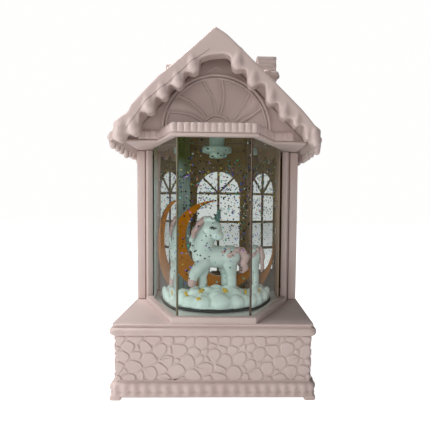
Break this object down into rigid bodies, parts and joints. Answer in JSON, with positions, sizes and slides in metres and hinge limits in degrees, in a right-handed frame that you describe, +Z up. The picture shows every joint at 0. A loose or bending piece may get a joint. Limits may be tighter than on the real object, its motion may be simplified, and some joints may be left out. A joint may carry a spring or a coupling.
{
  "type": "house-shaped water lantern",
  "caption": "House-shaped glitter water lantern: a pink moulded house with an iced gable roof over a clear bay tank holding a unicorn, moon and cloud, on a stone-look plinth.",
  "frame": {"origin": "middle of the footprint, on the surface that the lantern stands on", "axes": "+Z up, front of the house faces -Y, +X to the viewer's right"},
  "size_m": [0.164, 0.133, 0.2769],
  "materials": {
    "pink_shell": "satin dusty pink moulded plastic",
    "clear_tank": "clear acrylic, polished",
    "white_plastic": "plain white moulded plastic",
    "figure_white": "glossy painted white resin",
    "figure_pink": "glossy painted pink resin",
    "figure_horn": "painted sage green resin",
    "amber_clear": "translucent amber resin",
    "frosted_stopper": "frosted translucent plastic",
    "black_plastic": "black moulded plastic",
    "black_rubber": "black rubber ring",
    "circuit_green": "green circuit board",
    "cell_wrap": "plain dark cell wrap",
    "bright_steel": "plated steel"
  },
  "bodies": {
    "root": {"base_housing": "pink_shell", "deck": "pink_shell", "bottom_cover": "pink_shell", "motor_bracket": "pink_shell", "bay_cap": "pink_shell", "soffit_board": "pink_shell", "cornice": "pink_shell", "ceiling_plate": "pink_shell", "front_gable": "pink_shell", "roof": "pink_shell", "front_icing": "pink_shell", "rear_icing": "pink_shell", "eave_icing_left": "pink_shell", "eave_icing_right": "pink_shell", "chimney_right": "pink_shell", "chimney_left": "pink_shell", "chimney_snow_right": "pink_shell", "chimney_snow_left": "pink_shell", "side_wall_left": "pink_shell", "side_wall_right": "pink_shell", "bay_jamb_left": "pink_shell", "bay_jamb_right": "pink_shell", "rear_wall": "pink_shell", "foot_front_left": "pink_shell", "foot_front_right": "pink_shell", "foot_rear_left": "pink_shell", "foot_rear_right": "pink_shell", "tank_shell": "clear_tank", "tank_plug": "white_plastic", "led_board": "white_plastic", "unicorn": "figure_white", "cloud_base": "figure_white", "unicorn_mane": "figure_pink", "unicorn_tail": "figure_pink", "unicorn_horn": "figure_horn", "crescent_moon": "amber_clear", "fill_stopper": "frosted_stopper", "battery_box": "black_plastic", "speaker": "black_plastic", "switch_body": "black_plastic", "plug_seal": "black_rubber", "circuit_board": "circuit_green", "aa_cell_1": "cell_wrap", "aa_cell_2": "cell_wrap", "aa_cell_3": "cell_wrap", "cover_screw_1": "bright_steel", "cover_screw_2": "bright_steel", "cover_screw_3": "bright_steel", "cover_screw_4": "bright_steel", "contact_strip_left": "bright_steel", "contact_strip_right": "bright_steel", "charging_socket": "bright_steel", "gear_motor": "bright_steel", "impeller_pin": "bright_steel"},
    "rotor": {"magnet_rotor": "white_plastic", "drive_magnet_1": "bright_steel", "drive_magnet_2": "bright_steel"},
    "impeller": {"impeller": "white_plastic"},
    "switch": {"mode_switch_key": "black_plastic"},
    "door": {"battery_door": "pink_shell"}
  },
  "joints": [
    {"name": "rotor_spin", "type": "hinge", "parent": "root", "child": "rotor", "pos_m": [0, 0, 0.045], "axis": [0, 0, 1], "continuous": true},
    {"name": "impeller_spin", "type": "hinge", "parent": "root", "child": "impeller", "pos_m": [0, 0, 0.057], "axis": [0, 0, 1], "continuous": true},
    {"name": "mode_switch_slide", "type": "slide", "parent": "root", "child": "switch", "axis": [1, 0, 0], "range_m": [-0.0035, 0.0035]},
    {"name": "battery_door_lift", "type": "slide", "parent": "root", "child": "door", "axis": [0, 0, -1], "range_m": [0, 0.03]}
  ],
  "couplings": [
    {"joint": "impeller_spin", "follows": "rotor_spin", "ratio": 1}
  ]
}
